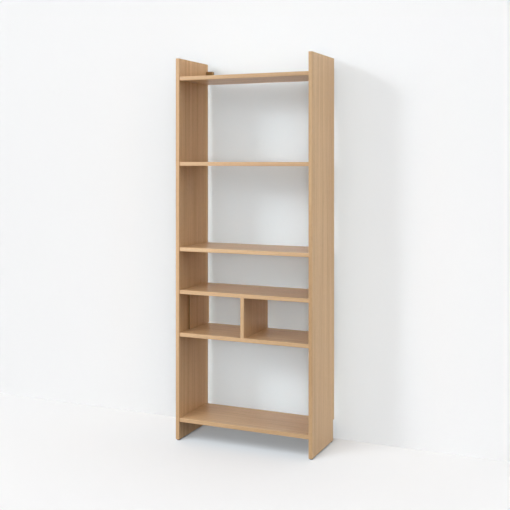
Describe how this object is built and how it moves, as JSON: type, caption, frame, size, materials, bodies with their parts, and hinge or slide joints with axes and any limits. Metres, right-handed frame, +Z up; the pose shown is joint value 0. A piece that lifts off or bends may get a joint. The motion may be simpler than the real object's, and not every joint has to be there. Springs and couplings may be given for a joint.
{
  "type": "bookcase",
  "caption": "Tall open-backed oak bookcase with fixed shelves, a divided niche, skirting notches in the side panels and levelling feet.",
  "frame": {"origin": "on the floor, under the middle of the bookcase's width and depth", "axes": "+X to the right seen from the front, +Y towards the wall, +Z up"},
  "size_m": [0.684, 0.3, 1.8],
  "materials": {
    "oak": "clear matt lacquer",
    "dark_oak": "dark stained, matt",
    "beech": "unfinished",
    "zinc_steel": "zinc plated",
    "cast_zinc": "as cast, dull",
    "brown_plastic": "fine matt",
    "black_plastic": "fine matt"
  },
  "bodies": {
    "bookcase": {"left_side_panel": "oak", "right_side_panel": "oak", "bottom_shelf": "oak", "niche_floor_shelf": "oak", "niche_roof_shelf": "oak", "middle_shelf": "oak", "upper_shelf": "oak", "top_shelf": "oak", "niche_divider": "oak", "left_niche_cheek": "oak", "right_niche_cheek": "oak", "left_wall_block": "dark_oak", "right_wall_block": "dark_oak", "left_shelf_tenons": "beech", "right_shelf_tenons": "beech", "divider_tenons": "beech", "block_tenons": "beech", "cam_bolts": "zinc_steel", "cam_locks": "cast_zinc", "cam_caps": "brown_plastic", "foot_inserts": "zinc_steel"},
    "front_left_foot": {"front_left_foot_pad": "black_plastic", "front_left_foot_stud": "zinc_steel"},
    "rear_left_foot": {"rear_left_foot_pad": "black_plastic", "rear_left_foot_stud": "zinc_steel"},
    "front_right_foot": {"front_right_foot_pad": "black_plastic", "front_right_foot_stud": "zinc_steel"},
    "rear_right_foot": {"rear_right_foot_pad": "black_plastic", "rear_right_foot_stud": "zinc_steel"}
  },
  "joints": [
    {"name": "front_left_foot_screw", "type": "slide", "parent": "bookcase", "child": "front_left_foot", "axis": [0, 0, -1], "range_m": [0, 0.01]},
    {"name": "rear_left_foot_screw", "type": "slide", "parent": "bookcase", "child": "rear_left_foot", "axis": [0, 0, -1], "range_m": [0, 0.01]},
    {"name": "front_right_foot_screw", "type": "slide", "parent": "bookcase", "child": "front_right_foot", "axis": [0, 0, -1], "range_m": [0, 0.01]},
    {"name": "rear_right_foot_screw", "type": "slide", "parent": "bookcase", "child": "rear_right_foot", "axis": [0, 0, -1], "range_m": [0, 0.01]}
  ]
}
